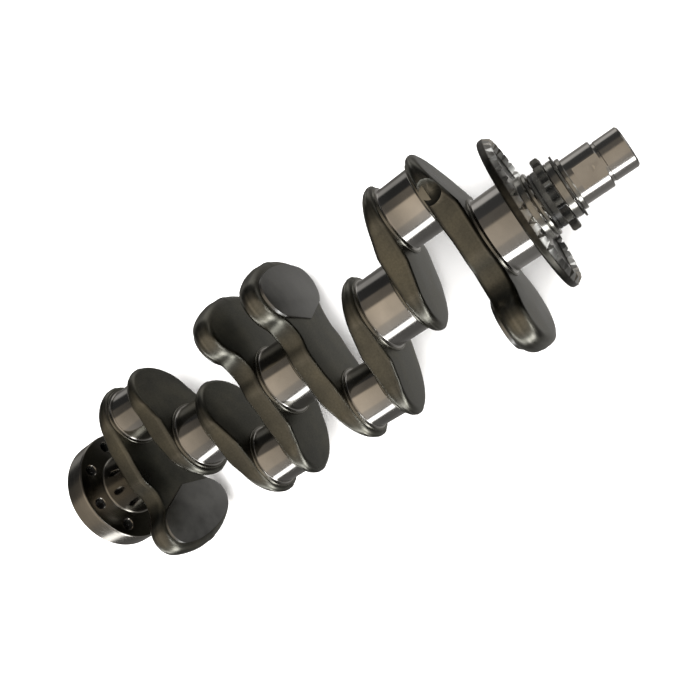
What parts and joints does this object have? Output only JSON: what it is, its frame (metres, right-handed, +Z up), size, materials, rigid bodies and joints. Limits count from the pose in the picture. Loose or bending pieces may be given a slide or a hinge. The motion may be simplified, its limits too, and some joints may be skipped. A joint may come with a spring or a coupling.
{
  "type": "crankshaft",
  "caption": "Forged inline crankshaft with counterweights, flywheel flange, and a toothed wheel and chain sprocket on its snout.",
  "frame": {"origin": "on the crank axis, at the middle of the centre main journal", "axes": "+X along the main journals towards the snout, +Y towards crank pins 1 and 4, +Z up with the throws level"},
  "size_m": [0.5122, 0.164, 0.114],
  "materials": {
    "ground": "ground and polished",
    "forged": "dark forged satin",
    "flange": "turned and polished",
    "snout": "ground",
    "wheel": "dark oiled steel",
    "turned": "turned",
    "blacked": "black oxide",
    "bronze": "sintered bronze"
  },
  "bodies": {
    "root": {"main_journal_1": "ground", "main_journal_2": "ground", "main_journal_3": "ground", "main_journal_4": "ground", "main_journal_5": "ground", "crank_pin_1": "ground", "crank_pin_2": "ground", "crank_pin_3": "ground", "crank_pin_4": "ground", "web_1": "forged", "web_2": "forged", "web_3": "forged", "web_4": "forged", "web_5": "forged", "web_6": "forged", "web_7": "forged", "web_8": "forged", "flywheel_flange": "flange", "front_snout": "snout", "toothed_wheel": "wheel", "front_washer": "turned", "drive_key": "turned", "chain_sprocket": "blacked", "spacer_collar": "turned", "oil_slinger": "blacked", "snout_ring": "turned", "flywheel_dowel": "turned", "pilot_bush": "bronze"}
  },
  "joints": []
}
